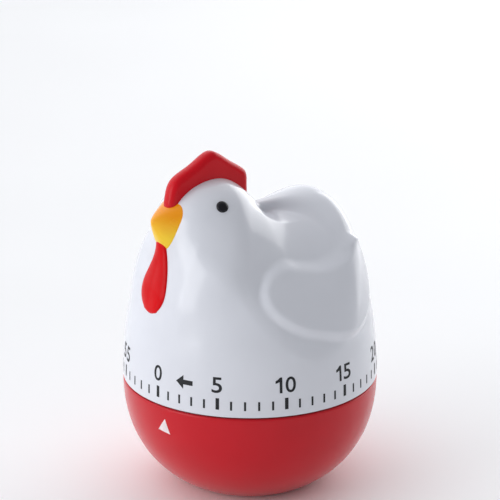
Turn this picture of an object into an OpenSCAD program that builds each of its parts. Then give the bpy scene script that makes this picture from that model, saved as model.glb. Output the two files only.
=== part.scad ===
// Clockwork kitchen timer shaped as a sitting hen.
// The white upper shell is the winding knob. It turns on a red base that holds
// a spring-driven movement between two plates, and a bell.
// The hen faces -Y, +Z is up, and the origin is the centre of the foot.

/* [Body] */
// Radius of the egg at the joint between the base and the upper shell
body_r = 30; // [28:0.5:32]
// Height of the joint above the foot
seam_z = 25.5; // [25:0.25:26]
// Height that the egg of the upper shell would have above the joint
egg_h = 51; // [48:0.5:54]
// Gap between the two shells
seam_gap = 0.3; // [0.2:0.05:0.5]
// Wall thickness of both shells
wall = 2; // [1.6:0.1:2.4]

/* [Head] */
// Radius of the round head
head_r = 12; // [11:0.25:12.5]
// Distance from the turning axis forward to the head's centre
head_fwd = 12.3; // [11.5:0.1:12.8]
// Height of the head's centre
head_z = 62.9; // [62:0.1:64]
// Height of the back's dome over the turning axis
back_z = 64.6; // [64:0.1:65.5]
// Height of the narrow rib on the back, over the turning axis
rib_z = 66.8; // [66.4:0.1:67.4]
// Thickness of the comb
comb_t = 3.9; // [3.4:0.1:4.6]

/* [Dial] */
// Angle of the zero mark, counted from the beak towards the hen's left
zero_angle = 10.9; // [0:0.1:20]
// Height of the lower ends of the marks above the joint
mark_lift = 2; // [1.5:0.1:2.5]

/* [Movement] */
// Running clearance of every shaft in its hole
run = 0.04; // [0.02:0.01:0.08]
// Radius of the main arbor
arbor_r = 2; // [1.8:0.1:2.2]
// Radius of the thin arbors
pivot_r = 0.6; // [0.5:0.05:0.7]

/* [Hidden] */

$fn = 48;
dial_minutes = 60;      // marks on the dial, one turn of it
bowl_h = 28.6;          // depth of the base's full curve, which the foot cuts off
bowl_n = 2.25;          // how square the base's curve is
egg_n = 2.06;           // the same for the egg of the upper shell
ray_z = 46;             // centre that the upper shell's surface is measured from
cols = 80;              // facets round the upper shell
rows_out = 44;          // rings of its outer surface
rows_in = 14;           // rings of its inner surface

plate_t = 1;
lower_z = 8;            // underside of the lower plate
upper_z = 19;           // underside of the upper plate
lower_r = 20.5;
upper_r = 26.2;
boss_at = 24.2;         // circle of the three movement screws
pillar_at = 18.4;       // circle of the three pillars
pillar_angles = [20, 100, 170];
boss_angles = [0, 120, 240];
disc_z = 26.2;          // underside of the drive disc

// Teeth and modules of the going train: 60/8, 56/8 and 60/8
great_teeth = 60;
second_teeth = 56;
third_teeth = 60;
pinion_teeth = 8;
escape_teeth = 15;
ratchet_teeth = 24;
great_m = 0.36;
second_m = 0.30;
third_m = 0.25;
shift = 0.5;            // profile shift, added to a pinion and taken from its wheel
play = 0.12;            // backlash of each flank, as a share of the module
great_z = 11.8;
second_z = 9.6;
third_z = 10.7;
escape_z = 14;
balance_z = 16.2;
cam_z = 20.7;
great_t = 1;
wheel_t = 0.6;

// Centre distances, and the arbors' places worked out from them
cd_second = great_m * (great_teeth + pinion_teeth) / 2;
cd_third = second_m * (second_teeth + pinion_teeth) / 2;
cd_escape = third_m * (third_teeth + pinion_teeth) / 2;
third_at = 13.5;        // distance of the third arbor from the main arbor
escape_at = 17;
second_ang = 210;
third_ang = second_ang + corner(cd_second, third_at, cd_third);
escape_ang = third_ang + corner(third_at, escape_at, cd_escape);
balance_at = 17;
balance_ang = escape_ang + 25;
second_p = polar(cd_second, second_ang);
third_p = polar(third_at, third_ang);
escape_p = polar(escape_at, escape_ang);
balance_p = polar(balance_at, balance_ang);
hammer_p = polar(15.2, 130);
trip_p = polar(14, 95);

function polar(r, a) = [r * cos(a), r * sin(a)];
// Angle between sides a and b of a triangle whose third side is c
function corner(a, b, c) = acos((a * a + b * b - c * c) / (2 * a * b));

// ---------- curves of the two shells ----------

function bowl_r(z) = body_r * pow(1 - pow((seam_z - z) / bowl_h, bowl_n), 1 / bowl_n);
function smooth_min(a, b, k) =
    let (h = min(1, max(0, 0.5 + 0.5 * (b - a) / k))) b * (1 - h) + a * h - k * h * (1 - h);
function smooth_max(a, b, k) = -smooth_min(-a, -b, k);
// Egg of revolution, as a distance-like value that is negative inside
function egg(p) =
    let (r = max(norm([p.x, p.y]), 0.001), z = max(abs(p.z - seam_z), 0.001),
        q = pow(r / body_r, egg_n) + pow(z / egg_h, egg_n),
        gr = pow(r / body_r, egg_n - 1) / body_r * pow(q, 1 / egg_n - 1),
        gz = pow(z / egg_h, egg_n - 1) / egg_h * pow(q, 1 / egg_n - 1))
    (pow(q, 1 / egg_n) - 1) / norm([gr, gz]);
function ellipsoid(p, c, s) =
    let (q = [(p.x - c.x) / s.x, (p.y - c.y) / s.y, (p.z - c.z) / s.z],
        g = [q.x / s.x, q.y / s.y, q.z / s.z])
    norm(q) * (norm(q) - 1) / max(norm(g), 0.000001);
// The back's upper half stands a little further out than the egg
tail_swell = 0.09;
function ease(x) = let (c = min(1, max(0, x))) c * c * (3 - 2 * c);
function body(p) = egg([p.x, p.y > 0 ? p.y * (1 - tail_swell * ease((p.z - 46) / 23)) : p.y, p.z]);
// Dome over the back: an ellipse across, which climbs towards the tail
dome_w = 31.5;
dome_base = 24;
function dome(p) =
    let (h = back_z + 0.13 * p.y - dome_base, q = [p.x / dome_w, max(p.z - dome_base, 0) / h],
        g = norm([q.x / dome_w, q.y / h]))
    norm(q) * (norm(q) - 1) / max(g, 0.000001);
// Narrow rib along the middle of the back, which widens as it runs into the tail
rib_half = 1.6;
rib_end = 18.3;
rib_lean = 52;          // how far its flanks lean over at the tail, in degrees
function rib_grow(p) = ease((p.y - 1) / 13);
function rib(p) =
    let (top = p.z - (rib_z + 0.09 * p.y), w = rib_grow(p), lean = rib_lean * w,
        flank = (abs(p.x) - rib_half - 2.2 * w) * cos(lean) + top * sin(lean),
        bar = smooth_max(flank, top, 1.2 + 1.5 * w))
    max(smooth_max(bar, p.y - rib_end, 4), 60 - p.z, -4 - p.y);
// The rounding between the egg and the dome fades out towards the rim
function domed_body(p) = smooth_max(body(p), dome(p), 0.1 + 1.7 * ease((p.z - 32) / 14));
function back(p) = smooth_min(domed_body(p), rib(p), 0.6 + 2.4 * rib_grow(p));
// Neck and breast: the part of the egg that lies in an ellipsoid under the head
neck_c = [0, -13, 54];
neck_half = [17, 14.5, 20];
neck_blend = 4;
function head_value(p) = smooth_min(norm(p - [0, -head_fwd, head_z]) - head_r,
    smooth_max(body(p), ellipsoid(p, neck_c, neck_half), 2.5), neck_blend);
// The fold between the head and the back opens out to the sides
function fold(p) =
    let (behind = ease((p.y + 12) / 10))
    min(1.5 + (0.35 + 0.45 * behind) * abs(p.x), 5 + 4 * behind);
function hen(p) = smooth_min(head_value(p), back(p), fold(p));

// Distance from the ray centre to the hen's surface along the direction d
function reach(d, lo = 14, hi = 40, n = 15) = n == 0 ? (lo + hi) / 2 :
    let (mid = (lo + hi) / 2)
    hen([0, 0, ray_z] + mid * d) < 0 ? reach(d, mid, hi, n - 1) : reach(d, lo, mid, n - 1);
function direction(az, el) = [cos(az) * cos(el), sin(az) * cos(el), sin(el)];
function rim_el() = -atan2(ray_z - seam_z, body_r);
// Outline of a wing: arc back from the hen's side, and height
wing_outline = [[-14.6, 53.2], [-12.2, 56.9], [-6.5, 58.6], [0.5, 57.6], [7.5, 57.0],
    [14.5, 58.2], [22.5, 61.0], [25.3, 57.5], [24.0, 50.0], [18.0, 43.2], [9.5, 40.2],
    [0.5, 41.6], [-7.0, 44.4], [-12.6, 48.6]];
wing_h = 1.3;           // how far a wing stands out
wing_edge = 3.2;         // width of its sloping edge
wing_arc_r = 28;        // radius that the outline's arcs are laid out on
function seg_gap(q, a, b) =
    let (e = b - a, t = min(1, max(0, (q - a) * e / (e * e)))) norm(q - a - t * e);
function crossings(q, o) = len([for (i = [0:len(o) - 1])
    let (a = o[i], b = o[(i + 1) % len(o)])
    if ((a.y > q.y) != (b.y > q.y) && q.x < a.x + (q.y - a.y) / (b.y - a.y) * (b.x - a.x)) 1]);
function wing_lift(p) =
    let (q = [wing_arc_r * (atan2(abs(p.x), -p.y) - 90) * PI / 180, p.z], n = len(wing_outline),
        d = min([for (i = [0:n - 1]) seg_gap(q, wing_outline[i], wing_outline[(i + 1) % n])]))
    wing_h * ease((0.5 + (crossings(q, wing_outline) % 2 == 1 ? d : -d)) / wing_edge);
function ring(el, inset) = [for (i = [0:cols - 1])
    let (d = direction(360 * i / cols, el), p = [0, 0, ray_z] + (reach(d) - inset) * d)
    inset > 0 ? p : p + wing_lift(p) * d];
function flat_ring(r, z) = [for (i = [0:cols - 1]) [each polar(r, 360 * i / cols), z]];

// ---------- gear outlines ----------

function involute(a) = tan(a) * 180 / PI - a;
// Half the tooth's angle at radius r
function tooth_half(r, teeth, m, x) =
    let (rp = m * teeth / 2, rb = rp * cos(20))
    (90 + 2 * x * tan(20) * 180 / PI) / teeth - play * m / rp * 180 / PI
        + involute(20) - involute(acos(min(1, rb / max(r, rb))));
// One tooth space and tooth, repeated; x is the profile shift
function gear_points(teeth, m, x, add = 0.75, ded = 1.05, turn = 0) =
    let (rp = m * teeth / 2, ra = rp + m * (add + x), rf = rp - m * (ded - x),
        flank = [for (k = [0:4]) rf + (ra - rf) * k / 4])
    [for (i = [0:teeth - 1]) let (a = turn + 360 * i / teeth)
        each concat([for (r = flank) polar(r, a - tooth_half(r, teeth, m, x))],
            [for (k = [4:-1:0]) polar(flank[k], a + tooth_half(flank[k], teeth, m, x))])];

module wheel(teeth, m, t, hub_r, bore, spokes, turn = 0) {
    rp = m * teeth / 2;
    rim = rp - 3 * m - 0.6;
    difference() {
        linear_extrude(t) polygon(gear_points(teeth, m, -shift, turn = turn));
        translate([0, 0, -1]) cylinder(r = bore, h = t + 2);
        for (i = [0:spokes - 1]) rotate(360 * i / spokes + 30)
            translate([(hub_r + rim) / 2 + 0.2, 0, -1]) cylinder(r = (rim - hub_r) / 2 - 0.6, h = t + 2);
    }
}
module pinion(m, t, bore, turn = 0) {
    difference() {
        linear_extrude(t) polygon(gear_points(pinion_teeth, m, shift, turn = turn));
        translate([0, 0, -1]) cylinder(r = bore, h = t + 2);
    }
}
module at(p, z = 0) { translate([p.x, p.y, z]) children(); }
module disc(r, z0, z1) { translate([0, 0, z0]) cylinder(r = r, h = z1 - z0); }
module ring_solid(r_in, r_out, z0, z1) {
    difference() {
        disc(r_out, z0, z1);
        disc(r_in, z0 - 1, z1 + 1);
    }
}
module bar(p, q, width, t) {
    len = norm(q - p);
    translate([p.x, p.y, 0]) rotate(atan2(q.y - p.y, q.x - p.x)) translate([0, -width / 2, 0])
        cube([len, width, t]);
}

// ---------- base ----------

bowl_steps = 22;
bowl_top = seam_z - seam_gap / 2;
cover_r = 12;
cover_screw_at = 10.6;
cover_angles = [30, 150, 270];
foot_in = 12.7;
foot_out = 14.7;
function bowl_curve(inset, z0) = [for (k = [0:bowl_steps])
    let (z = z0 + (bowl_top - z0) * k / bowl_steps) [bowl_r(max(z - inset * 0.75, 0)) - inset, z]];

module bowl_solid() {
    rotate_extrude($fn = 96) polygon(concat([[0, 0]], bowl_curve(0, 0), [[0, bowl_top]]));
}
module base_shell() color("crimson") difference() {
    union() {
        difference() {
            bowl_solid();
            rotate_extrude($fn = 96) polygon(concat([[0, wall]], bowl_curve(wall, wall),
                [[body_r - wall, bowl_top + 1], [0, bowl_top + 1]]));
        }
        intersection() {
            bowl_solid();
            for (a = boss_angles) at(polar(boss_at, a)) disc(2.2, 2, upper_z);
        }
    }
    for (a = boss_angles) at(polar(boss_at, a)) disc(0.8, upper_z - 7, upper_z + 1);
    disc(cover_r - 2.8, -1, wall + 1);
    disc(cover_r + 0.1, -1, 1);
    ring_solid(foot_in - 0.05, foot_out + 0.05, -1, 0.6);
    for (a = cover_angles) at(polar(cover_screw_at, a)) disc(0.6, -1, wall + 1);
}
module foot_ring() color("dimgray") ring_solid(foot_in, foot_out, 0, 0.6);
module base_cover() color("firebrick") difference() {
    union() {
        disc(cover_r, 0.15, 1);
        disc(2.4, 0.9, 2.9);
    }
    disc(0.9, 1.1, 4);
    for (a = [0:60:300]) at(polar(5.4, a)) disc(0.9, -1, 3);
    for (a = cover_angles) at(polar(cover_screw_at, a)) {
        disc(0.62, -1, 3);
        disc(1.2, -1, 0.6);
    }
}
module cover_screws() color("silver") for (a = cover_angles) at(polar(cover_screw_at, a)) difference() {
    union() {
        disc(0.58, 0.5, 1.95);
        disc(1.1, 0.2, 0.6);
    }
    translate([-1.5, -0.15, 0]) cube([3, 0.3, 0.4]);
}
pointer_top = seam_z - 2.9;
pointer_h = 3.3;
pointer_turn = 3.3;     // the mark stands this far past the zero mark at rest
module pointer_mark() color("white") rotate(zero_angle - 90 + pointer_turn)
    translate([bowl_r(pointer_top) - 0.2, 0, pointer_top])
        rotate([0, 90 + atan((bowl_r(pointer_top) - bowl_r(pointer_top - pointer_h)) / pointer_h), 0])
            linear_extrude(0.22) polygon([[0, 0], [pointer_h, -1.6], [pointer_h, 1.6]]);

// ---------- frame of the movement ----------

module arbor_holes(z) {
    for (p = [second_p, third_p, escape_p, balance_p]) at(p) disc(pivot_r + run, z - 1, z + 2);
}
module lower_plate() color("silver") difference() {
    disc(lower_r, lower_z, lower_z + plate_t);
    disc(arbor_r + 1, lower_z - 1, lower_z + 2);
    arbor_holes(lower_z);
    at(hammer_p) disc(pivot_r + run, lower_z - 1, lower_z + 2);
    for (a = pillar_angles) at(polar(pillar_at, a)) disc(0.9, lower_z - 1, lower_z + 2);
    for (a = [40, 60]) at(polar(11, a)) disc(1.6, lower_z - 1, lower_z + 2);
}
module upper_plate() color("silver") difference() {
    disc(upper_r, upper_z, upper_z + plate_t);
    disc(arbor_r + 1, upper_z - 1, upper_z + 2);
    arbor_holes(upper_z);
    at(hammer_p) disc(pivot_r + run, upper_z - 1, upper_z + 2);
    at(trip_p) disc(0.8, upper_z - 1, upper_z + 2);
    for (a = pillar_angles) at(polar(pillar_at, a)) disc(0.9, upper_z - 1, upper_z + 2);
    for (a = boss_angles) at(polar(boss_at, a)) disc(0.95, upper_z - 1, upper_z + 2);
    for (a = [150, 330]) at(polar(12.5, a)) disc(4, upper_z - 1, upper_z + 2);
    at(polar(stop_at, stop_angle)) disc(0.75, upper_z - 1, upper_z + 2);
}
module pillars() color("lightgray") for (a = pillar_angles) at(polar(pillar_at, a)) {
    disc(1.6, lower_z + plate_t, upper_z);
    disc(0.85, lower_z - 1.8, lower_z + plate_t + 0.01);
    disc(0.85, upper_z - 0.01, upper_z + plate_t + 1.3);
}
module hex_nut(z) {
    difference() {
        translate([0, 0, z]) cylinder(r = 1.7, h = 1, $fn = 6);
        disc(0.87, z - 1, z + 2);
    }
}
module pillar_nuts() color("goldenrod") for (a = pillar_angles) at(polar(pillar_at, a)) {
    hex_nut(lower_z - 1.05);
    hex_nut(upper_z + plate_t + 0.05);
}
module movement_screws() color("gray") for (a = boss_angles) at(polar(boss_at, a)) difference() {
    union() {
        disc(0.78, upper_z - 5, upper_z + plate_t + 0.05);
        disc(1.7, upper_z + plate_t + 0.05, upper_z + plate_t + 0.9);
    }
    translate([-2, -0.2, upper_z + plate_t + 0.5]) cube([4, 0.4, 1]);
}
module lower_bush() color("goldenrod") ring_solid(arbor_r + run, arbor_r + 0.98, lower_z, lower_z + 1.3);
module upper_bush() color("goldenrod")
    ring_solid(arbor_r + run, arbor_r + 0.98, upper_z - 0.3, upper_z + 1.3);
stop_at = 20.5;
stop_angle = 90;
module stop_pin() color("gray") at(polar(stop_at, stop_angle)) disc(0.73, upper_z - 0.6, 23.6);

// ---------- mainspring ----------

spring_in = 3.1;
spring_out = 9.3;
spring_turns = 6;
spring_t = 0.3;
spring_end = 312;       // angle of the outer end, where the post stands
spring_steps = 144;
function spiral(offset) = [for (k = [0:spring_steps])
    let (f = k / spring_steps)
    polar(spring_in + (spring_out - spring_in) * f + offset, spring_end - 360 * spring_turns * (1 - f))];
function backwards(v) = [for (i = [len(v) - 1:-1:0]) v[i]];
module mainspring() color("lightsteelblue") translate([0, 0, 14.4]) linear_extrude(3.8)
    polygon(concat(spiral(spring_t), backwards(spiral(0))));
module spring_post() color("gray")
    at(polar(spring_out + spring_t + 1.15, spring_end)) disc(0.8, 13.6, upper_z);

// ---------- bell and hammer ----------

bell_r = 13.2;
module bell() color("lightgray") rotate_extrude($fn = 96) polygon(concat(
    [[1.2, 2.9], [9, 2.9], [11.6, 3.4], [12.8, 4.4], [bell_r, 5.6], [bell_r, 6.6]],
    [[bell_r - 0.6, 6.6], [bell_r - 0.6, 5.6], [12.3, 4.7], [11.3, 3.9], [9, 3.5], [1.2, 3.5]]));
module bell_screw() color("goldenrod") difference() {
    union() {
        disc(0.88, 1.3, 3.6);
        disc(2.3, 3.5, 4.3);
    }
    translate([-3, -0.25, 3.9]) cube([6, 0.5, 1]);
}
hammer_head = polar(11, 112);
module hammer() color("gray") difference() {
    union() {
        translate([0, 0, 7]) bar(hammer_p, hammer_head, 1.2, 0.6);
        at(hammer_p) disc(1.5, 7, 7.6);
        at(hammer_head) disc(1, 5.2, 7.6);
    }
    at(hammer_p) disc(pivot_r, 6, 9);
}
module hammer_arbor() color("lightgray") at(hammer_p) disc(pivot_r, 6.8, upper_z + plate_t + 0.3);

// ---------- hen ----------

// Triangles between two rings of points, and from one ring to a tip
function quad(r0, r1) = [for (i = [0:cols - 1]) let (j = (i + 1) % cols)
    each [[r0 * cols + i, r1 * cols + j, r0 * cols + j], [r0 * cols + i, r1 * cols + i, r1 * cols + j]]];
function fan(r, tip, up) = [for (i = [0:cols - 1]) let (j = (i + 1) % cols)
    up ? [r * cols + i, tip, r * cols + j] : [r * cols + j, tip, r * cols + i]];
module chicken_shell() color("white") {
    el0 = rim_el();
    el_in = -atan2(ray_z - seam_z, body_r - wall);
    up_out = [for (k = [1:rows_out]) ring(el0 + (90 - el0) * k / (rows_out + 1), 0)];
    up_in = [for (k = [rows_in:-1:1]) ring(el_in + (90 - el_in) * k / (rows_in + 1), wall)];
    rings = concat([flat_ring(body_r, seam_z + seam_gap / 2)], up_out, up_in,
        [flat_ring(body_r - wall, seam_z + seam_gap / 2)]);
    top = [0, 0, ray_z + reach([0, 0, 1])];
    pts = concat([for (r = rings) each r], [top, top - [0, 0, wall]]);
    n_out = rows_out + 1;
    n_all = len(rings);
    apex = n_all * cols;
    faces = concat([for (k = [0:n_out - 2]) each quad(k, k + 1)], fan(n_out - 1, apex, true),
        fan(n_out, apex + 1, false), [for (k = [n_out:n_all - 2]) each quad(k, k + 1)], quad(n_all - 1, 0));
    polyhedron(pts, faces);
}
// Side outline of the comb in the Y-Z plane
comb_outline = [[-22.6, 68.4], [-22.9, 71.6], [-22.1, 74.6], [-20.4, 76.4], [-13.2, 80.6], [-11.0, 81.2],
    [-8.9, 80.4], [-2.9, 76.2], [-1.8, 74.9], [-1.6, 68.6], [-7, 70.3], [-12, 71.3], [-17, 69.8]];
module side_plate(t) {
    translate([-t / 2, 0, 0]) rotate([90, 0, 90]) linear_extrude(t) children();
}
module comb() color("crimson") {
    side_plate(comb_t) offset(delta = -0.6) polygon(comb_outline);
    side_plate(comb_t - 1.2) polygon(comb_outline);
}
// The beak: its tip, its root in the head, and the rim between them from the top round the left side
beak_tip = [0, -27.2, 67.3];
beak_root = [0, -18, 66];
beak_rim = [[0, -21.9, 70.9], [4.4, -21.9, 69.2], [4.8, -22.6, 65.2], [2.8, -24.0, 61.4],
    [0, -24.4, 60.6], [-2.8, -24.0, 61.4], [-4.8, -22.6, 65.2], [-4.4, -21.9, 69.2]];
module beak() color("gold") polyhedron(concat([beak_tip, beak_root], beak_rim),
    [for (k = [0:7]) let (a = 2 + k, b = 2 + (k + 1) % 8) each [[0, b, a], [1, a, b]]]);
module wattle() color("red") hull() {
    translate([0, -25.6, 50.3]) scale([4.95, 2.3, 4.8]) sphere(1, $fn = 24);
    translate([0, -23.6, 61]) sphere(1.7, $fn = 16);
}
eye_p = [9.0, -14.0, 70.4];
module eye(side) { translate([side * eye_p.x, eye_p.y, eye_p.z]) sphere(1.25); }
module left_eye() color("black") eye(1);
module right_eye() color("black") eye(-1);
module scale_marks() color("dimgray") for (i = [0:dial_minutes - 1])
    rotate(zero_angle - 90 + 360 * i / dial_minutes) {
        long = i % 5 == 0;
        w = long ? 0.75 : 0.45;
        h = long ? 2.5 : 2.1;
        translate([body_r - 0.45, -w / 2, seam_z + mark_lift]) cube([0.4, w, h]);
    }
module drive_disc() color("whitesmoke") difference() {
    union() {
        disc(27.9, disc_z, disc_z + 1.6);
        disc(5, 22.6, disc_z);
        // Lug that meets the stop pin at both ends of the travel
        rotate(stop_angle - 7.5) translate([stop_at - 1.2, -0.9, 22.2]) cube([2.4, 1.8, disc_z - 22]);
    }
    difference() {
        disc(arbor_r + 0.02, 20, 30);
        translate([arbor_r * 0.6 + 0.02, -5, 19]) cube([10, 10, 12]);
    }
    for (a = [45:90:315]) at(polar(15, a)) disc(6, 20, 30);
}
module main_arbor() color("lightgray") difference() {
    disc(arbor_r, 6.3, disc_z + 2.4);
    translate([arbor_r * 0.6, -5, 22.4]) cube([10, 10, 10]);
    ring_solid(1.3, 4, 7.05, 7.65);
}
module arbor_clip() color("gray") difference() {
    ring_solid(1.34, 3.4, 7.1, 7.6);
    translate([0, -0.9, 6]) cube([10, 1.8, 3]);
}
function saw(teeth, r_in, r_out) = [for (i = [0:teeth - 1])
    each [polar(r_out, 360 * i / teeth), polar(r_in, 360 * i / teeth + 2)]];
module ratchet_wheel() color("goldenrod") difference() {
    translate([0, 0, 13.1]) linear_extrude(0.6) polygon(saw(ratchet_teeth, 4.3, 5));
    disc(arbor_r + 0.01, 12, 15);
}
cam_r = 9;
nose_angle = 52;
module cam_disc() color("goldenrod") difference() {
    disc(cam_r, cam_z, cam_z + 0.8);
    disc(arbor_r + 0.01, 19, 23);
    // Notch that the trip lever's nose falls into when the dial reaches zero
    rotate(nose_angle - 7.5) translate([cam_r - 2.2, -2.8, 19]) cube([5, 5.6, 4]);
}

// ---------- wheels ----------

second_turn = second_ang + 180 + 180 / pinion_teeth;
third_turn = atan2(third_p.y - second_p.y, third_p.x - second_p.x);
escape_turn = atan2(escape_p.y - third_p.y, escape_p.x - third_p.x);
module great_wheel() color("goldenrod") translate([0, 0, great_z])
    wheel(great_teeth, great_m, great_t, 3.6, arbor_r + run, 5, turn = second_ang);
module click() color("gray") {
    difference() {
        union() {
            at([7.4, 0]) disc(0.9, 13.1, 13.7);
            translate([0, 0, 13.1]) bar([7.4, 0], polar(5.6, 42), 0.7, 0.6);
        }
        at([7.4, 0]) disc(0.4, 12, 14);
    }
    at([7.4, 0]) disc(0.38, great_z + great_t, 13.9);
}
module click_spring() color("silver") translate([0, 0, great_z + great_t])
    linear_extrude(0.8)
        polygon(concat([for (a = [20:6:92]) polar(8.0, a)], [for (a = [92:-6:20]) polar(7.8, a)]));
module second_wheel() color("goldenrod") at(second_p, second_z)
    wheel(second_teeth, second_m, wheel_t, 2.4, pivot_r, 4, turn = third_turn);
module second_arbor() color("lightgray") at(second_p) {
    disc(pivot_r - 0.01, lower_z - 0.3, upper_z + plate_t + 0.3);
    translate([0, 0, great_z - 0.1]) pinion(great_m, great_t + 0.2, pivot_r - 0.02, turn = second_turn);
}
module third_wheel() color("goldenrod") at(third_p, third_z)
    wheel(third_teeth, third_m, wheel_t, 2.2, pivot_r, 4, turn = escape_turn);
module third_arbor() color("lightgray") at(third_p) {
    disc(pivot_r - 0.01, lower_z - 0.3, upper_z + plate_t + 0.3);
    translate([0, 0, second_z - 0.05])
        pinion(second_m, wheel_t + 0.1, pivot_r - 0.02, turn = third_turn + 180 + 180 / pinion_teeth);
}
module escape_wheel() color("goldenrod") at(escape_p) difference() {
    translate([0, 0, escape_z]) linear_extrude(wheel_t) polygon([for (i = [0:escape_teeth - 1])
        let (a = 360 * i / escape_teeth)
            each [polar(3.2, a), polar(4.5, a + 3), polar(4.5, a + 6), polar(3.2, a + 14)]]);
    disc(pivot_r, 10, 20);
}
module escape_arbor() color("lightgray") at(escape_p) {
    disc(pivot_r - 0.01, lower_z - 0.3, upper_z + plate_t + 0.3);
    translate([0, 0, third_z - 0.05])
        pinion(third_m, wheel_t + 0.1, pivot_r - 0.02, turn = escape_turn + 180 + 180 / pinion_teeth);
}

// ---------- escapement and balance ----------

pallet_reach = 3.6;
to_escape = atan2(escape_p.y - balance_p.y, escape_p.x - balance_p.x);
module pallet_lever() color("gray") at(balance_p) difference() {
    union() {
        disc(1.3, 14.9, 15.4);
        for (s = [-1, 1]) rotate(to_escape + s * 46) {
            translate([0, -0.5, 14.9]) cube([pallet_reach, 1, 0.5]);
            at([pallet_reach, 0]) disc(0.35, 14.0, 15.4);
        }
    }
    disc(pivot_r, 13, 17);
}
module balance_arbor() color("lightgray")
    at(balance_p) disc(pivot_r - 0.01, lower_z - 0.3, upper_z + plate_t + 0.3);
module balance_bar() color("goldenrod") at(balance_p) difference() {
    union() {
        disc(1.3, balance_z, balance_z + 0.6);
        rotate(to_escape + 90) for (s = [-1, 1]) {
            translate([s > 0 ? 0 : -3.6, -0.5, balance_z]) cube([3.6, 1, 0.6]);
            at([s * 3.6, 0]) disc(1, balance_z, balance_z + 1.4);
        }
    }
    disc(pivot_r, 13, 19);
}

// ---------- strike release ----------

trip_nose = polar(cam_r + 0.75, nose_angle);
trip_elbow = polar(cam_r + 2.7, nose_angle);
module trip_lever() color("gray") difference() {
    union() {
        translate([0, 0, cam_z]) bar(trip_p, trip_elbow, 1.2, 0.8);
        translate([0, 0, cam_z]) bar(trip_elbow, trip_nose, 1.2, 0.8);
        at(trip_nose) disc(0.6, cam_z, cam_z + 0.8);
        at(trip_elbow) disc(0.6, cam_z, cam_z + 0.8);
        at(trip_p) disc(1.8, cam_z, cam_z + 0.8);
    }
    at(trip_p) disc(0.8 + run, 20, 23);
}
module trip_stud() color("lightgray") at(trip_p) {
    disc(0.78, upper_z - 0.4, 22);
    disc(1.5, cam_z + 0.85, cam_z + 1.2);
}

base_shell();
foot_ring();
pointer_mark();
base_cover();
cover_screws();
lower_plate();
upper_plate();
pillars();
pillar_nuts();
movement_screws();
lower_bush();
upper_bush();
stop_pin();
mainspring();
spring_post();
bell();
bell_screw();
chicken_shell();
comb();
beak();
wattle();
left_eye();
right_eye();
scale_marks();
drive_disc();
main_arbor();
ratchet_wheel();
cam_disc();
arbor_clip();
great_wheel();
click();
click_spring();
second_wheel();
second_arbor();
third_wheel();
third_arbor();
escape_wheel();
escape_arbor();
pallet_lever();
balance_arbor();
balance_bar();
hammer();
hammer_arbor();
trip_lever();
trip_stud();
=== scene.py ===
import math
import bmesh
import bpy
import numpy as np
from mathutils import Matrix, Vector


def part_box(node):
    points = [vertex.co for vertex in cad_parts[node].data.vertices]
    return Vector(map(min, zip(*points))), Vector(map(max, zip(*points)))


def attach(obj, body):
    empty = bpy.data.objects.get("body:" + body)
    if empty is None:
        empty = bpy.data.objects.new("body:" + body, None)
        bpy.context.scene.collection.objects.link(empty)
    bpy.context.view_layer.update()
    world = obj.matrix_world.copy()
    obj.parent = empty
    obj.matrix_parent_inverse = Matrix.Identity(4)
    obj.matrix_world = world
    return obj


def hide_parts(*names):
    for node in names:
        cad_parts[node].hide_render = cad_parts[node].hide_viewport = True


# A clockwork kitchen timer shaped as a sitting hen. Sizes in this script are in millimetres
# until a mesh is made, when MM turns them into metres. The hen faces -Y.

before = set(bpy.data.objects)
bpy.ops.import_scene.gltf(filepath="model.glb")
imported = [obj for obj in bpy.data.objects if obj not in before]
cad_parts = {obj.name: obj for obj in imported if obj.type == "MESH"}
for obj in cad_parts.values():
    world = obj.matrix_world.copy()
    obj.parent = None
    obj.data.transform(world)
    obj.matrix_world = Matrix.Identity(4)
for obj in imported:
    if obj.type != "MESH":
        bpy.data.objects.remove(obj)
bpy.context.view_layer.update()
MM = 0.001

# ---------- sizes that follow the CAD ----------

BODY_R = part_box("base_shell")[1].x / MM
BASE_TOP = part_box("base_shell")[1].z / MM
RIM_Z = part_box("chicken_shell")[0].z / MM
SEAM_Z = (BASE_TOP + RIM_Z) / 2
WALL = 2.0
EGG_H, EGG_N = 51.0, 2.06
BOWL_H, BOWL_N = 28.6, 2.25
HEAD = np.array((0.0, -12.3, 62.9))
HEAD_R = 12.0
NECK_AT, NECK_HALF, NECK_BLEND = (0, -13, 54), (17, 14.5, 20), 4.0
BACK_Z, RIB_Z = 64.6, 66.8
DOME_W, DOME_BASE, DOME_CLIMB = 31.5, 24.0, 0.13
SWELL_FROM, SWELL_OVER = 46.0, 23.0
TAIL_SWELL = 0.09       # how far the upper back stands out past the egg, as a share of its radius
RIB_HALF, RIB_SPREAD, RIB_CLIMB = 1.6, 2.2, 0.09
RIB_LEAN = math.radians(52)
RIB_FRONT, RIB_END, RIB_FOOT = -4.0, 18.3, 60.0
RAY_Z = 46.0            # height on the axis that the shell's surface is measured from
RAY_MIN, RAY_MAX = 14, 42
ZERO_AZ = 10.9          # zero mark, in degrees from the beak towards the hen's left
COMB_T = 3.9


# ---------- shape of the hen ----------

def smooth_min(a, b, k):
    """The lower of two distances, rounded where they are within k of each other."""
    h = np.clip(0.5 + 0.5 * (b - a) / k, 0, 1)
    return b * (1 - h) + a * h - k * h * (1 - h)


def smooth_max(a, b, k):
    return -smooth_min(-a, -b, k)


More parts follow.
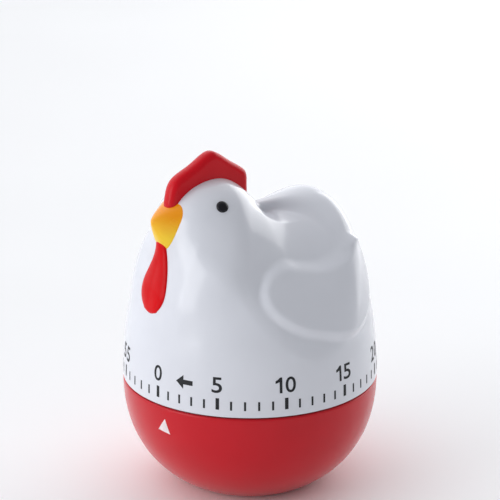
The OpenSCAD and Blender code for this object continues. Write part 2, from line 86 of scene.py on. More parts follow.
def egg(p):
    """Egg of revolution over the joint, negative inside."""
    r = np.maximum(np.hypot(p[:, 0], p[:, 1]), 1e-3)
    z = np.maximum(np.abs(p[:, 2] - SEAM_Z), 1e-3)
    q = (r / BODY_R) ** EGG_N + (z / EGG_H) ** EGG_N
    gr = (r / BODY_R) ** (EGG_N - 1) / BODY_R * q ** (1 / EGG_N - 1)
    gz = (z / EGG_H) ** (EGG_N - 1) / EGG_H * q ** (1 / EGG_N - 1)
    return (q ** (1 / EGG_N) - 1) / np.hypot(gr, gz)


def ellipsoid(p, centre, semi):
    """Near the surface, the distance to an ellipsoid; negative inside."""
    q = (p - np.array(centre)) / np.array(semi)
    n = np.linalg.norm(q, axis=1)
    return n * (n - 1) / np.maximum(np.linalg.norm(q / np.array(semi), axis=1), 1e-6)


def ease(x):
    """Smooth step from 0 to 1."""
    x = np.clip(x, 0, 1)
    return x * x * (3 - 2 * x)


def body(p):
    """The egg, whose upper half stands a little further out behind."""
    q = p.copy()
    swell = TAIL_SWELL * ease((p[:, 2] - SWELL_FROM) / SWELL_OVER)
    q[:, 1] = np.where(p[:, 1] > 0, p[:, 1] * (1 - swell), p[:, 1])
    return egg(q)


def dome(p):
    """Dome over the back: an ellipse across, which climbs towards the tail."""
    h = BACK_Z + DOME_CLIMB * p[:, 1] - DOME_BASE
    z = np.maximum(p[:, 2] - DOME_BASE, 0) / h
    q = np.hypot(p[:, 0] / DOME_W, z)
    return q * (q - 1) / np.maximum(np.hypot(p[:, 0] / DOME_W ** 2, z / h), 1e-6)


def rib_grow(p):
    """0 at the rib's narrow front end, 1 where it has become the tail."""
    return ease((p[:, 1] - 1) / 13)


def rib(p):
    """Narrow rib along the middle of the back, which widens as it runs into the tail."""
    w = rib_grow(p)
    lean = RIB_LEAN * w
    top = p[:, 2] - (RIB_Z + RIB_CLIMB * p[:, 1])
    flank = (np.abs(p[:, 0]) - RIB_HALF - RIB_SPREAD * w) * np.cos(lean) + top * np.sin(lean)
    bar = smooth_max(flank, top, 1.2 + 1.5 * w)
    bar = smooth_max(bar, p[:, 1] - RIB_END, 4)
    return np.maximum(bar, np.maximum(RIB_FOOT - p[:, 2], RIB_FRONT - p[:, 1]))


def hen(p):
    """The whole upper shell without its wings, negative inside."""
    shell = body(p)
    neck = smooth_max(shell, ellipsoid(p, NECK_AT, NECK_HALF), 2.5)
    head = smooth_min(np.linalg.norm(p - HEAD, axis=1) - HEAD_R, neck, NECK_BLEND)
    # The rounding between the egg and the dome fades out towards the rim
    domed = smooth_max(shell, dome(p), 0.1 + 1.7 * ease((p[:, 2] - 32) / 14))
    back = smooth_min(domed, rib(p), 0.6 + 2.4 * rib_grow(p))
    # The fold between the head and the back opens out to the sides
    behind = ease((p[:, 1] + 12) / 10)
    fold = np.minimum(1.5 + (0.35 + 0.45 * behind) * np.abs(p[:, 0]), 5 + 4 * behind)
    return smooth_min(head, back, fold)


def march(origin, direction, lo, hi, steps=24):
    """Distance along each ray to the hen's surface; the ray starts inside."""
    lo = np.full(len(direction), float(lo))
    hi = np.full(len(direction), float(hi))
    for _ in range(steps):
        mid = (lo + hi) / 2
        inside = hen(origin + direction * mid[:, None]) < 0
        lo = np.where(inside, mid, lo)
        hi = np.where(inside, hi, mid)
    return (lo + hi) / 2


def egg_radius(z):
    """Radius of the white shell's egg at height z."""
    return BODY_R * (1 - (np.abs(z - SEAM_Z) / EGG_H) ** EGG_N) ** (1 / EGG_N)


def bowl_radius(z):
    """Radius of the red bowl at height z."""
    return BODY_R * (1 - ((SEAM_Z - z) / BOWL_H) ** BOWL_N) ** (1 / BOWL_N)


# ---------- mesh helpers ----------

def closed_curve(points, per_side=8):
    """Closed Catmull-Rom curve through the points."""
    pts = np.array(points, float)
    out = []
    for i in range(len(pts)):
        a, b, c, d = (pts[(i + k) % len(pts)] for k in (-1, 0, 1, 2))
        for s in np.arange(per_side) / per_side:
            out.append(0.5 * (2 * b + (c - a) * s + (2 * a - 5 * b + 4 * c - d) * s ** 2
                              + (3 * b - a - 3 * c + d) * s ** 3))
    return np.array(out)


def make(name, verts_mm, faces, smooth=True):
    mesh = bpy.data.meshes.new(name)
    mesh.from_pydata([tuple(v) for v in np.asarray(verts_mm) * MM], [], faces)
    mesh.validate()
    mesh.update()
    if smooth:
        mesh.shade_smooth()
    obj = bpy.data.objects.new(name, mesh)
    bpy.context.scene.collection.objects.link(obj)
    return obj


def place(obj, body, slot, material, *nodes):
    """Gives a piece its material and body, and hides the CAD nodes it replaces. The slot is not used.
    """
    obj.data.materials.clear()
    obj.data.materials.append(material)
    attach(obj, body)
    if nodes:
        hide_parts(*nodes)


def loft(rings, close_ends=(False, False)):
    """Faces between equal closed rings; an end is closed with one polygon."""
    n = len(rings[0])
    verts = np.concatenate(rings)
    faces = []
    for r in range(len(rings) - 1):
        for i in range(n):
            j = (i + 1) % n
            faces.append((r * n + i, r * n + j, (r + 1) * n + j, (r + 1) * n + i))
    if close_ends[0]:
        faces.append(tuple(range(n - 1, -1, -1)))
    if close_ends[1]:
        last = (len(rings) - 1) * n
        faces.append(tuple(last + i for i in range(n)))
    return verts, faces


def revolve(profile, segments):
    """Closed (r, z) profile turned about Z."""
    angles = 2 * np.pi * np.arange(segments) / segments
    rings = [np.stack([r * np.cos(angles), r * np.sin(angles), np.full(segments, z)], 1)
             for r, z in profile]
    return loft(rings + [rings[0]])


def joined(parts):
    """One mesh's vertices and faces from several."""
    verts, faces, start = [], [], 0
    for v, f in parts:
        verts.append(v)
        faces += [tuple(i + start for i in face) for face in f]
        start += len(v)
    return np.concatenate(verts), faces


def distance_to_outline(u, v, outline):
    """Signed distance to a closed outline, negative inside."""
    best = np.full(u.shape, 1e9)
    sign = np.ones(u.shape)
    for i in range(len(outline)):
        a, b = outline[i], outline[i - 1]
        e = b - a
        wu, wv = u - a[0], v - a[1]
        t = np.clip((wu * e[0] + wv * e[1]) / (e @ e), 0, 1)
        best = np.minimum(best, np.hypot(wu - e[0] * t, wv - e[1] * t))
        c1, c2, c3 = v >= a[1], v < b[1], e[0] * wv > e[1] * wu
        sign = np.where((c1 & c2 & c3) | (~c1 & ~c2 & ~c3), -sign, sign)
    return best * sign


# ---------- materials ----------

def shader(name, rough, metallic=0.0, coat=0.0, specular=0.5):
    mat = bpy.data.materials.new(name)
    mat.use_nodes = True
    bsdf = mat.node_tree.nodes["Principled BSDF"]
    bsdf.inputs["Roughness"].default_value = rough
    bsdf.inputs["Metallic"].default_value = metallic
    bsdf.inputs["Coat Weight"].default_value = coat
    bsdf.inputs["Coat Roughness"].default_value = 0.06
    bsdf.inputs["Specular IOR Level"].default_value = specular
    return mat, mat.node_tree.nodes, mat.node_tree.links, bsdf


def noise(nodes, links, scale, detail=3.0, stretch=None):
    coord = nodes.new("ShaderNodeTexCoord")
    tex = nodes.new("ShaderNodeTexNoise")
    tex.inputs["Scale"].default_value = scale
    tex.inputs["Detail"].default_value = detail
    if stretch:
        mapping = nodes.new("ShaderNodeMapping")
        mapping.inputs["Scale"].default_value = stretch
        links.new(coord.outputs["Object"], mapping.inputs["Vector"])
        links.new(mapping.outputs["Vector"], tex.inputs["Vector"])
    else:
        links.new(coord.outputs["Object"], tex.inputs["Vector"])
    return tex


def ramp(nodes, links, source, low, high, start=0.3, end=0.7):
    node = nodes.new("ShaderNodeValToRGB")
    node.color_ramp.elements[0].position = start
    node.color_ramp.elements[0].color = low
    node.color_ramp.elements[1].position = end
    node.color_ramp.elements[1].color = high
    links.new(source, node.inputs["Fac"])
    return node.outputs["Color"]


def grey(v):
    return (v, v, v, 1.0)


def finish_surface(nodes, links, bsdf, colour, vary, rough, rough_vary, bump, scale, stretch=None):
    """Colour drift, uneven gloss and fine relief that every surface here has."""
    drift = noise(nodes, links, scale, 3.0, stretch)
    low = tuple(c * (1 - vary) for c in colour) + (1.0,)
    high = tuple(min(1.0, c * (1 + vary)) for c in colour) + (1.0,)
    links.new(ramp(nodes, links, drift.outputs["Fac"], low, high), bsdf.inputs["Base Color"])
    smear = noise(nodes, links, scale * 2.7, 5.0, stretch)
    links.new(ramp(nodes, links, smear.outputs["Fac"], grey(max(0.02, rough - rough_vary)),
                   grey(rough + rough_vary)), bsdf.inputs["Roughness"])
    fine = noise(nodes, links, scale * 9, 2.0, stretch)
    relief = nodes.new("ShaderNodeBump")
    relief.inputs["Strength"].default_value = bump
    relief.inputs["Distance"].default_value = 0.00005
    links.new(fine.outputs["Fac"], relief.inputs["Height"])
    links.new(relief.outputs["Normal"], bsdf.inputs["Normal"])


def moulded_plastic(name, colour, rough=0.16, coat=0.35, vary=0.025, bump=0.08, specular=0.5):
    mat, nodes, links, bsdf = shader(name, rough, coat=coat, specular=specular)
    finish_surface(nodes, links, bsdf, colour, vary, rough, 0.035, bump, 90.0)
    return mat


def printed_ink(name, colour, rough=0.45):
    mat, nodes, links, bsdf = shader(name, rough, specular=0.2)
    finish_surface(nodes, links, bsdf, colour, 0.12, rough, 0.08, 0.15, 700.0)
    return mat


def rubber(name, colour):
    mat, nodes, links, bsdf = shader(name, 0.75, specular=0.3)
    finish_surface(nodes, links, bsdf, colour, 0.15, 0.75, 0.1, 0.6, 400.0)
    return mat


def metal(name, colour, rough, stretch=(1, 1, 1), scale=260.0, bump=0.25):
    mat, nodes, links, bsdf = shader(name, rough, metallic=1.0)
    finish_surface(nodes, links, bsdf, colour, 0.08, rough, 0.08, bump, scale, stretch)
    return mat


def beak_plastic():
    """Yellow plastic with painted shade: it turns darker orange above and at the tip, standing in for
    the shade on the upper facets.
    """
    mat = moulded_plastic("beak_yellow_plastic", (0.8, 0.5, 0.02), 0.26, 0.0, 0.05, 0.08, 0.3)
    nodes, links = mat.node_tree.nodes, mat.node_tree.links
    bsdf = nodes["Principled BSDF"]
    coord = nodes.new("ShaderNodeTexCoord")
    split = nodes.new("ShaderNodeSeparateXYZ")
    links.new(coord.outputs["Object"], split.inputs["Vector"])
    height = nodes.new("ShaderNodeMapRange")
    yellow_to, shaded_orange_from = 0.0635, 0.0695
    height.inputs["From Min"].default_value = yellow_to
    height.inputs["From Max"].default_value = shaded_orange_from
    links.new(split.outputs["Z"], height.inputs["Value"])
    drift = noise(nodes, links, 240.0)
    mixed = nodes.new("ShaderNodeMath")
    mixed.operation = "MULTIPLY_ADD"
    links.new(drift.outputs["Fac"], mixed.inputs[0])
    mixed.inputs[1].default_value = 0.25
    links.new(height.outputs["Result"], mixed.inputs[2])
    # Painted shade: darker orange towards the top of the beak, where its facets are turned from the
    # light
    colour = ramp(nodes, links, mixed.outputs["Value"], (0.92, 0.60, 0.03, 1),
                  (0.93, 0.33, 0.004, 1), 0.15, 1.1)
    links.new(colour, bsdf.inputs["Base Color"])
    return mat


WHITE = moulded_plastic("white_plastic", (0.725, 0.74, 0.795), 0.19, 0.2, 0.012, 0.05)
RED = moulded_plastic("red_plastic", (0.56, 0.005, 0.014), 0.22, 0.0, 0.03, 0.06, 0.25)
RED.node_tree.nodes["Principled BSDF"].inputs["Sheen Weight"].default_value = 0.10
COMB_RED = moulded_plastic("comb_red_plastic", (0.62, 0.004, 0.012), 0.24, 0.0, 0.05, 0.08, 0.2)
WATTLE_RED = moulded_plastic("wattle_red_plastic", (0.64, 0.003, 0.006), 0.16, 0.0, 0.05, 0.08, 0.1)
YELLOW = beak_plastic()
BLACK = moulded_plastic("eye_black_plastic", (0.006, 0.006, 0.010), 0.12, 0.0, 0.1, 0.04, 0.3)
INK = printed_ink("dial_ink", (0.022, 0.023, 0.026))
POINTER = printed_ink("pointer_ink", (0.86, 0.76, 0.78), 0.3)
NYLON = moulded_plastic("nylon_plastic", (0.78, 0.76, 0.70), 0.4, 0.0, 0.03, 0.15)
RUBBER = rubber("foot_rubber", (0.03, 0.03, 0.03))
PLATE = metal("plate_steel", (0.60, 0.60, 0.62), 0.32, (1, 14, 1))
SCREW = metal("screw_steel", (0.52, 0.52, 0.54), 0.25, (1, 1, 8))
SPRING = metal("blued_spring_steel", (0.16, 0.20, 0.32), 0.22, (1, 1, 10))
BRASS = metal("wheel_brass", (0.80, 0.56, 0.20), 0.28, (1, 1, 6))
BELL = metal("plated_bell", (0.74, 0.74, 0.76), 0.12, (1, 1, 5), 180.0, 0.1)

CAD_FINISH = {
    RED: ("base_cover",), RUBBER: ("foot_ring",), NYLON: ("drive_disc",), BELL: ("bell",),
    SPRING: ("mainspring", "click_spring"),
    PLATE: ("lower_plate", "upper_plate", "pallet_lever", "hammer", "trip_lever", "click"),
    SCREW: ("cover_screws", "pillars", "movement_screws", "stop_pin", "spring_post", "main_arbor",
            "second_arbor", "third_arbor", "escape_arbor", "balance_arbor", "hammer_arbor",
            "trip_stud", "arbor_clip"),
    BRASS: ("lower_bush", "upper_bush", "pillar_nuts", "ratchet_wheel", "cam_disc", "great_wheel",
            "second_wheel", "third_wheel", "escape_wheel", "balance_bar", "bell_screw"),
}


def finish_cad_nodes():
    for material, names in CAD_FINISH.items():
        for name in names:
            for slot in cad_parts[name].material_slots:
                slot.material = material


# ---------- white shell with its wings ----------

# Wing outline on the left side: millimetres back from the side's middle, and height
WING = closed_curve([(-14.6, 53.2), (-12.2, 56.9), (-6.5, 58.6), (0.5, 57.6), (7.5, 57.0),
                     (14.5, 58.2), (22.5, 61.0), (25.5, 57.5), (24.0, 50.0), (18.0, 43.2),
                     (9.5, 40.2), (0.5, 41.6), (-7.0, 44.4), (-12.6, 48.6)], 6)
WING_H = 1.3
WING_EDGE = 3.2
SIDE_R = 28.0


def wing_relief(p):
    """Height of the wings over the body, the same on both sides."""
    azimuth = np.arctan2(np.abs(p[:, 0]), -p[:, 1])
    d = distance_to_outline(SIDE_R * (azimuth - np.pi / 2), p[:, 2], WING)
    t = np.clip((0.5 - d) / WING_EDGE, 0, 1)
    return WING_H * t * t * (3 - 2 * t)


def chicken_shell():
    """The white shell, 2 mm thick, with a rounded lower lip."""
    cols, rows, inner_rows = 360, 210, 50
    az = 2 * np.pi * np.arange(cols) / cols
    centre = np.array((0.0, 0.0, RAY_Z))

    def rings(r_rim, z_rim, count, sunk, relief):
        low = -math.atan2(RAY_Z - z_rim, r_rim)
        out = []
        for k in range(count):
            el = low + (math.pi / 2 - low) * k / count
            d = np.stack([np.cos(az) * math.cos(el), np.sin(az) * math.cos(el),
                          np.full(cols, math.sin(el))], 1)
            p = centre + d * (march(centre, d, RAY_MIN, RAY_MAX) - sunk)[:, None]
            if relief:
                p = p + d * wing_relief(p)[:, None]
            out.append(p)
        return out

    def flat(r, z):
        return np.stack([r * np.cos(az), r * np.sin(az), np.full(cols, z)], 1)

    lip = [flat(BODY_R - WALL, RIM_Z), flat(BODY_R - 0.40, RIM_Z), flat(BODY_R - 0.16, RIM_Z + 0.07),
           flat(BODY_R - 0.03, RIM_Z + 0.22)]
    outer = rings(BODY_R, RIM_Z + 0.45, rows, 0.0, True)
    inner = rings(BODY_R - WALL, RIM_Z + 0.5, inner_rows, WALL, False)
    verts, faces = loft(inner[::-1] + lip + outer)
    tip = march(centre, np.array([[0.0, 0.0, 1.0]]), RAY_MIN, RAY_MAX)[0]
    apex = [(0, 0, RAY_Z + tip), (0, 0, RAY_Z + tip - WALL)]
    last = len(verts) - cols
    n = len(verts)
    verts = np.concatenate([verts, apex])
    faces += [(last + i, last + (i + 1) % cols, n) for i in range(cols)]
    faces += [((i + 1) % cols, i, n + 1) for i in range(cols)]
    return make("hen_shell", verts, faces)


# ---------- red base ----------

BOSS_AT, BOSS_R, BOSS_HOLE, BOSS_TOP = 24.2, 2.2, 0.8, 19.0
RING_WIDTH = 2.0


def base_profile():
    """Section of the bowl from the cover's recess, under the foot, up the outside and back inside."""
    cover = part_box("base_cover")[1].x / MM
    ring_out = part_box("foot_ring")[1].x / MM
    ring_in = ring_out - RING_WIDTH
    under = [(cover + 0.1, 1.0), (cover + 0.1, 0.0), (ring_in - 0.05, 0.0), (ring_in - 0.05, 0.6),
             (ring_out + 0.05, 0.6), (ring_out + 0.05, 0.0)]
    top = BASE_TOP - 0.45
    outside = [(bowl_radius(z), z) for z in top * (1 - np.cos(np.linspace(0, np.pi / 2, 90)))]
    lip = [(BODY_R - 0.03, BASE_TOP - 0.22), (BODY_R - 0.15, BASE_TOP - 0.06),
           (BODY_R - 0.38, BASE_TOP), (BODY_R - WALL, BASE_TOP)]
    inside = [(bowl_radius(z - WALL * 0.75) - WALL, z) for z in np.linspace(BASE_TOP - 0.8, WALL, 45)]
    hole = [(cover - 2.8, WALL), (cover - 2.8, 1.0)]
    return under + outside + lip + inside + hole


def boss(angle):
    """Screw boss whose lower end stands in the bowl's wall."""
    centre = np.array((BOSS_AT * math.cos(angle), BOSS_AT * math.sin(angle)))
    turn = 2 * np.pi * np.arange(32) / 32
    circle = np.stack([np.cos(turn), np.sin(turn)], 1)
    foot_xy = centre + BOSS_R * circle
    reach = np.minimum(np.hypot(foot_xy[:, 0], foot_xy[:, 1]), BODY_R - WALL / 2 - 0.4)
    heights = np.linspace(WALL / 2, BOSS_TOP, 200)
    wall_mid = bowl_radius(heights) - WALL / 2
    foot_z = np.array([heights[np.argmax(wall_mid >= r)] for r in reach])

    def level(radius, z):
        return np.column_stack([centre + radius * circle, np.full(32, z)])

    rings = [level(BOSS_HOLE, BOSS_TOP - 7), level(BOSS_HOLE, BOSS_TOP), level(BOSS_R - 0.2, BOSS_TOP),
             level(BOSS_R, BOSS_TOP - 0.2), np.column_stack([foot_xy, foot_z])]
    return loft(rings[::-1], (True, True))


def base_shell():
    """The red bowl with its three screw posts."""
    verts, faces = revolve(base_profile(), 256)
    parts = [(verts, faces)] + [boss(2 * math.pi * k / 3) for k in range(3)]
    return make("base_bowl", *joined(parts))


# ---------- comb, beak, wattle, eyes ----------

# Side outline of the comb: (y, z)
COMB = closed_curve([(-21.4, 68.0), (-23.0, 69.6), (-22.9, 71.8), (-22.1, 74.6), (-20.4, 76.5),
                     (-16.2, 78.6), (-13.0, 80.5), (-11.0, 81.1), (-9.0, 80.3), (-6.0, 78.2),
                     (-2.9, 76.2), (-1.75, 74.9), (-1.5, 72.6), (-1.9, 68.4), (-5, 67.6), (-12, 69.4),
                     (-17, 67.6)], 8)
COMB_ROUND = 1.6


def inset(curve, d):
    """The closed curve moved inwards by d."""
    edge = np.roll(curve, -1, 0) - np.roll(curve, 1, 0)
    normal = np.stack([-edge[:, 1], edge[:, 0]], 1) / np.linalg.norm(edge, axis=1)[:, None]
    area = np.sum(curve[:, 0] * np.roll(curve[:, 1], -1) - np.roll(curve[:, 0], -1) * curve[:, 1])
    return curve + normal * d * (1 if area > 0 else -1)


def comb():
    """Plate with rounded edges, whose lower edge is sunk into the head."""
    half = COMB_T / 2
    steps = np.linspace(0, math.pi / 2, 7)
    side = [(half - COMB_ROUND * (1 - math.sin(a)), COMB_ROUND * (1 - math.cos(a))) for a in steps]
    side.append((half, COMB_ROUND + 0.25))
    profile = [(-x, d) for x, d in side[::-1]] + side
    rings = [np.column_stack([np.full(len(COMB), x), inset(COMB, d)]) for x, d in profile]
    verts, faces = loft(rings, (True, True))
    return make("hen_comb", verts, faces)


# Outline of the beak's root, seen from the front: (x, z), right half from top to bottom
BEAK = [(0.0, 70.9), (2.8, 70.7), (4.3, 69.6), (4.9, 67.9), (4.6, 65.4), (3.8, 63.1), (2.6, 61.3),
        (1.4, 60.6), (0.0, 60.5)]
BEAK_TIP = (0.0, -27.0, 67.2)
BEAK_MIDDLE = (0.0, 66.6)


def front(x, z):
    """Y of the hen's front surface at the given places."""
    start = np.stack([x, np.full_like(x, -8.0), z], 1)
    ahead = np.tile((0.0, -1.0, 0.0), (len(x), 1))
    return -8.0 - march(start, ahead, 0, 30)


def beak():
    """Blunt pyramid with soft edges: sections from the root out to the rounded tip."""
    outline = closed_curve(BEAK + [(-x, z) for x, z in BEAK[-2:0:-1]], 6)
    root_y = front(outline[:, 0], outline[:, 1])
    tip = np.array(BEAK_TIP)
    middle = np.array(BEAK_MIDDLE)
    rings = []
    for k in range(3):
        shrink = 0.96 + 0.02 * k
        xz = middle + (outline - middle) * shrink
        rings.append(np.column_stack([xz[:, 0], root_y + 1.6 - 0.8 * k, xz[:, 1]]))
    for t in np.linspace(0, 1, 40)[:-1]:
        # Straight flanks whose size ends in a round nose
        size = (1 - t) * 0.90 + 0.10 * math.sqrt(1 - t ** 6)
        centre = middle + (tip[[0, 2]] - middle) * t
        xz = centre + (outline - middle) * size
        y = root_y * (1 - t) + tip[1] * t - 0.15 * math.sin(math.pi * t)
        rings.append(np.column_stack([xz[:, 0], y, xz[:, 1]]))
    verts, faces = loft(rings, (True, True))
    return make("hen_beak", verts, faces)


# Half width and height over the breast of the wattle: (z, half width, relief)
WATTLE = np.array([(45.7, 0.0, 0.0), (46.1, 1.8, 0.3), (47.0, 3.0, 0.55), (48.6, 4.2, 0.75),
                   (50.5, 4.75, 0.85), (52.8, 4.55, 0.9), (55.6, 3.65, 0.9), (58.4, 2.65, 0.85),
                   (61.0, 1.95, 0.8), (63.5, 1.6, 0.8)])


def wattle():
    """Long drop that lies on the breast, wide below and thin under the beak."""
    rows, cols = 72, 48
    turn = 2 * np.pi * np.arange(cols) / cols
    length = WATTLE[-1, 0] - WATTLE[0, 0]
    rings = []
    for t in np.linspace(0.02, 1, rows):
        z = WATTLE[0, 0] + length * t * t
        half = smooth_table(z, 1)
        relief = smooth_table(z, 2)
        x = half * np.cos(turn)
        rise = np.sin(turn)
        seat = front(x, np.full(cols, z))
        y = np.where(rise > 0, seat - relief * np.abs(rise) ** 0.9, seat + 0.7 * np.abs(rise))
        rings.append(np.stack([x, y, np.full(cols, z)], 1))
    verts, faces = loft(rings, (True, True))
    return make("hen_wattle", verts, faces)


def smooth_table(z, column):
    """Wattle value at height z, along a smooth curve through the table."""
    zs, values = WATTLE[:, 0], WATTLE[:, column]
    # The round lower end follows a square root, the rest a smooth curve
    i = int(np.clip(np.searchsorted(zs, z) - 1, 0, len(zs) - 2))
    if i == 0:
        return values[1] * math.sqrt(max(0.0, (z - zs[0]) / (zs[1] - zs[0])))
    slopes = np.gradient(values, zs)
    # Cubic through both ends of the interval with their slopes
    h = zs[i + 1] - zs[i]
    s = (z - zs[i]) / h
    return ((2 * s ** 3 - 3 * s ** 2 + 1) * values[i] + (s ** 3 - 2 * s ** 2 + s) * h * slopes[i]
            + (3 * s ** 2 - 2 * s ** 3) * values[i + 1] + (s ** 3 - s ** 2) * h * slopes[i + 1])


EYE_AT = (9.0, -14.0, 70.4)
EYE_R, EYE_RISE, EYE_SUNK = 1.42, 0.72, 0.08
EYE_ROOT_R, EYE_ROOT = 1.25, 0.5


def eye(side):
    """Glossy dome set into the side of the head."""
    centre = np.array((side * EYE_AT[0], EYE_AT[1], EYE_AT[2]))
    out = centre - HEAD
    out /= np.linalg.norm(out)
    across = np.cross(out, (0.0, 0.0, 1.0))
    across /= np.linalg.norm(across)
    up = np.cross(across, out)
    surface = march(np.array([HEAD], float), np.array([out]), 8, 16)[0]
    seat = HEAD + out * (surface - EYE_SUNK)
    turn = 2 * np.pi * np.arange(40) / 40
    rings = []
    circle = np.cos(turn)[:, None] * across + np.sin(turn)[:, None] * up
    for a in np.linspace(0.0, math.pi / 2 * 0.985, 12):
        rings.append(seat + out * (EYE_RISE * math.sin(a)) + EYE_R * math.cos(a) * circle)
    base = seat - out * EYE_ROOT + EYE_ROOT_R * circle
    verts, faces = loft([base] + rings, (True, True))
    return make("hen_eye_left" if side > 0 else "hen_eye_right", verts, faces)


# ---------- printing ----------

def on_surface(radius, lift, angle, u, z):
    """Point at height z, u millimetres round from the angle (degrees from the beak)."""
    r = radius(z) + lift
    a = np.radians(angle) + u / radius(z)
    return np.stack([r * np.sin(a), -r * np.cos(a), z], 1)


PRINT_STEP = 0.6


def printed(name, patches, radius, lift=0.03, depth=0.12):
    """Thin raised patches that follow the shell. A patch is (angle, polygons), a polygon (u, z)."""
    work = bmesh.new()
    verts, faces = [], []
    for angle, polygons in patches:
        work.clear()
        for polygon in polygons:
            work.faces.new([work.verts.new((u, z, 0)) for u, z in polygon])
        bmesh.ops.remove_doubles(work, verts=work.verts, dist=1e-4)
        bmesh.ops.triangulate(work, faces=work.faces)
        for axis in (0, 1):
            along = [v.co[axis] for v in work.verts]
            for cut in np.arange(min(along) + PRINT_STEP, max(along), PRINT_STEP):
                spot, normal = [0, 0, 0], [0, 0, 0]
                spot[axis], normal[axis] = cut, 1
                bmesh.ops.bisect_plane(work, geom=work.verts[:] + work.edges[:] + work.faces[:],
                                       plane_co=spot, plane_no=normal)
        work.verts.index_update()
        flat = np.array([(v.co.x, v.co.y) for v in work.verts])
        up = on_surface(radius, lift, angle, flat[:, 0], flat[:, 1])
        down = on_surface(radius, lift - depth, angle, flat[:, 0], flat[:, 1])
        start = sum(len(v) for v in verts)
        n = len(flat)
        verts += [up, down]
        for face in work.faces:
            ids = [start + v.index for v in face.verts]
            if face.normal.z < 0:
                ids.reverse()
            faces.append(tuple(ids))
            faces.append(tuple(i + n for i in reversed(ids)))
        for edge in work.edges:
            if len(edge.link_faces) == 1:
                loop = edge.link_loops[0]
                a, b = loop.vert.index, loop.link_loop_next.vert.index
                if edge.link_faces[0].normal.z < 0:
                    a, b = b, a
                faces.append((start + b, start + a, start + a + n, start + b + n))
    work.free()
    return make(name, np.concatenate(verts), faces, smooth=False)


def box_patch(half, low, high):
    return [(-half, low), (half, low), (half, high), (-half, high)]


TICK_LIFT = 2.0
LONG_HALF, LONG_H = 0.41, 2.7
SHORT_HALF, SHORT_H = 0.24, 2.1


def ticks():
    """A mark for each minute, every fifth one long and thick."""
    patches = []
    for i in range(60):
        long = i % 5 == 0
        low = SEAM_Z + TICK_LIFT
        half, high = (LONG_HALF, low + LONG_H) if long else (SHORT_HALF, low + SHORT_H)
        patches.append((ZERO_AZ + 6 * i, [box_patch(half, low, high)]))
    return printed("dial_ticks", patches, egg_radius)


DIGIT_W, DIGIT_H, DIGIT_LIFT = 2.42, 3.65, 5.9
ONE_W, DIGIT_GAP = 1.55, 0.75
NUMBER_BACK = 0.3       # degrees that a number's middle stands before its mark


def one():
    """The figure 1: an upright bar with a slanted flag at its top left."""
    bar, flag = 0.62, 0.62
    left = ONE_W - bar
    outline = [(left, 0), (ONE_W, 0), (ONE_W, DIGIT_H), (left + 0.12, DIGIT_H),
               (left * 0.55, DIGIT_H - 0.52), (0, DIGIT_H - 0.78), (0, DIGIT_H - 0.78 - flag),
               (left, DIGIT_H - 1.05)]
    return [outline], ONE_W


def figure(digit):
    """Outline faces of one digit from the built-in typeface, standing on 0, and its width."""
    if digit == "1":
        return one()
    curve = bpy.data.curves.new("number", "FONT")
    curve.body = digit
    curve.resolution_u = 6
    curve.offset = 0.010
    thing = bpy.data.objects.new("number", curve)
    bpy.context.scene.collection.objects.link(thing)
    bpy.context.view_layer.update()
    graph = bpy.context.evaluated_depsgraph_get()
    mesh = bpy.data.meshes.new_from_object(thing.evaluated_get(graph))
    pts = np.array([v.co[:2] for v in mesh.vertices])
    polys = [list(p.vertices) for p in mesh.polygons]
    bpy.data.objects.remove(thing)
    bpy.data.curves.remove(curve)
    bpy.data.meshes.remove(mesh)
    low, high = pts.min(0), pts.max(0)
    pts = (pts - low) / (high - low) * (DIGIT_W, DIGIT_H)
    return [[tuple(pts[i]) for i in poly] for poly in polys], DIGIT_W


def number(text):
    """Outline faces of a number, centred on its middle at the height of the dial."""
    placed, cursor = [], 0.0
    for digit in text:
        polygons, width = figure(digit)
        placed += [[(u + cursor, z) for u, z in polygon] for polygon in polygons]
        cursor += width + DIGIT_GAP
    middle = (cursor - DIGIT_GAP) / 2
    return [[(u - middle, z + SEAM_Z + DIGIT_LIFT) for u, z in polygon] for polygon in placed]


def numbers():
    """0 to 55 in fives, over the long marks."""
    patches = [(ZERO_AZ + 30 * k - NUMBER_BACK, number(str(5 * k))) for k in range(12)]
    return printed("dial_numbers", patches, egg_radius)


ARROW_AZ, ARROW_LIFT = 25.3, 7.3
POINTER_AZ = 14.2


def arrow():
    """The arrow that shows which way to wind."""
    mid = SEAM_Z + ARROW_LIFT
    shape = [(-2.15, mid), (-0.25, mid - 1.6), (-0.25, mid - 0.55), (2.15, mid - 0.55),
             (2.15, mid + 0.55), (-0.25, mid + 0.55), (-0.25, mid + 1.6)]
    return printed("dial_arrow", [(ARROW_AZ, [shape])], egg_radius)


def pointer():
    """The triangle on the base that the dial is read against."""
    shape = [(0.3, SEAM_Z - 2.9), (-2.05, SEAM_Z - 6.05), (1.5, SEAM_Z - 6.5)]
    return printed("base_pointer", [(POINTER_AZ, [shape])], bowl_radius, 0.03, 0.2)


# ---------- build ----------

finish_cad_nodes()
place(chicken_shell(), "dial", "white_plastic", WHITE, "chicken_shell")
place(base_shell(), "base", "red_plastic", RED, "base_shell")
place(comb(), "dial", "comb_red", COMB_RED, "comb")
place(beak(), "dial", "beak_yellow", YELLOW, "beak")
place(wattle(), "dial", "comb_red", WATTLE_RED, "wattle")
place(eye(1), "dial", "eye_black", BLACK, "left_eye")
place(eye(-1), "dial", "eye_black", BLACK, "right_eye")
place(ticks(), "dial", "dial_ink", INK, "scale_marks")
place(numbers(), "dial", "dial_ink", INK)
place(arrow(), "dial", "dial_ink", INK)
place(pointer(), "base", "pointer_white", POINTER, "pointer_mark")

# ---------- floor, light and camera, in metres ----------

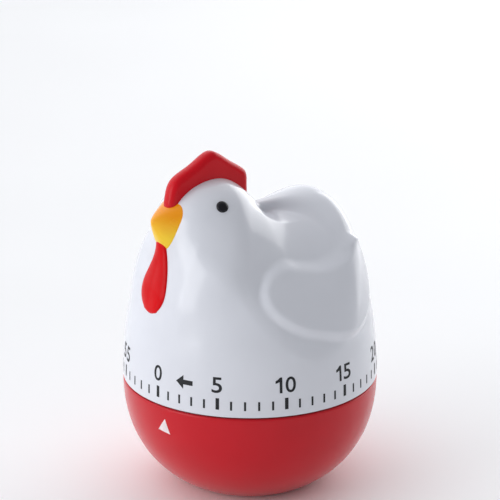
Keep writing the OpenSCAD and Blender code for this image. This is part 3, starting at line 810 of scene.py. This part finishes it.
floor_mesh = bpy.data.meshes.new("floor")
half = 1.5
corners = [(-half, -half, 0), (half, -half, 0), (half, half, 0), (-half, half, 0)]
floor_mesh.from_pydata(corners, [], [(0, 1, 2, 3)])
floor = bpy.data.objects.new("floor", floor_mesh)
bpy.context.scene.collection.objects.link(floor)
FLOOR, floor_nodes, floor_links, floor_bsdf = shader("pale_floor", 0.55, specular=0.25)
finish_surface(floor_nodes, floor_links, floor_bsdf, (0.965, 0.965, 0.965), 0.01, 0.55, 0.05,
               0.05, 6.0)
floor_mesh.materials.append(FLOOR)

CAM_AZ, CAM_EL, CAM_DIST, LENS = 55.0, 21.4, 0.484, 146.7
CAM_PITCH = 3.38
az, el = math.radians(CAM_AZ), math.radians(CAM_EL)
target = Vector((0, 0, SEAM_Z * MM))
back = Vector((math.sin(az) * math.cos(el), -math.cos(az) * math.cos(el), math.sin(el)))
right = Vector((math.cos(az), math.sin(az), 0))
level = Vector((math.sin(az), -math.cos(az), 0))


def aimed(position, forward, side):
    """Matrix of a camera or light that looks forward, with side to its right."""
    up = side.cross(forward)
    return Matrix.Translation(position) @ Matrix((side, up, -forward)).transposed().to_4x4()


camera_data = bpy.data.cameras.new("camera")
camera_data.lens = LENS
camera_data.sensor_width = 36.0
camera_data.clip_start = 0.01
camera = bpy.data.objects.new("camera", camera_data)
bpy.context.scene.collection.objects.link(camera)
forward = Matrix.Rotation(math.radians(CAM_PITCH), 3, right) @ -back
camera.matrix_world = aimed(target + back * CAM_DIST, forward, right)
bpy.context.scene.camera = camera


def area_light(name, place_at, aim_at, size_x, size_y, power):
    data = bpy.data.lights.new(name, "AREA")
    data.shape = "RECTANGLE"
    data.size, data.size_y = size_x, size_y
    data.energy = power
    light = bpy.data.objects.new(name, data)
    bpy.context.scene.collection.objects.link(light)
    ahead = (Vector(aim_at) - Vector(place_at)).normalized()
    side = ahead.cross(Vector((0, 0, 1))).normalized()
    light.matrix_world = aimed(Vector(place_at), ahead, side)


LIGHT_CENTRE = Vector((0, 0, 0.042))
MIDDLE = (0, 0, 0.04)


def from_camera(sideways, upward, towards):
    """Place round the hen's middle, as the camera sees it."""
    return LIGHT_CENTRE + right * sideways + Vector((0, 0, upward)) + level * towards


area_light("window_left", from_camera(-0.60, 0.14, 0.34), MIDDLE, 0.40, 0.5, 1.25)
area_light("back_right", from_camera(0.50, 0.06, -0.48), MIDDLE, 0.8, 0.9, 3.6)

# Bright studio all round, with a dark side in front on the right
BRIGHT, DARK = 1.42, 0.37
FADE_FROM, FADE_TO = -0.35, 0.75
world = bpy.data.worlds.new("studio")
bpy.context.scene.world = world
world.use_nodes = True
nodes, links = world.node_tree.nodes, world.node_tree.links
background = nodes["Background"]
direction = nodes.new("ShaderNodeTexCoord")
towards = nodes.new("ShaderNodeVectorMath")
towards.operation = "DOT_PRODUCT"
dark_side = (level * 0.62 + right * 0.60 + Vector((0, 0, 0.42))).normalized()
towards.inputs[1].default_value = dark_side
links.new(direction.outputs["Generated"], towards.inputs[0])
fade = nodes.new("ShaderNodeMapRange")
fade.interpolation_type = "SMOOTHSTEP"
fade.inputs["From Min"].default_value = FADE_FROM
fade.inputs["From Max"].default_value = FADE_TO
fade.inputs["To Min"].default_value = BRIGHT
fade.inputs["To Max"].default_value = DARK
links.new(towards.outputs["Value"], fade.inputs["Value"])
links.new(fade.outputs["Result"], background.inputs["Strength"])
background.inputs["Color"].default_value = (0.95, 0.965, 1.0, 1)
bpy.context.scene.view_settings.view_transform = "Standard"
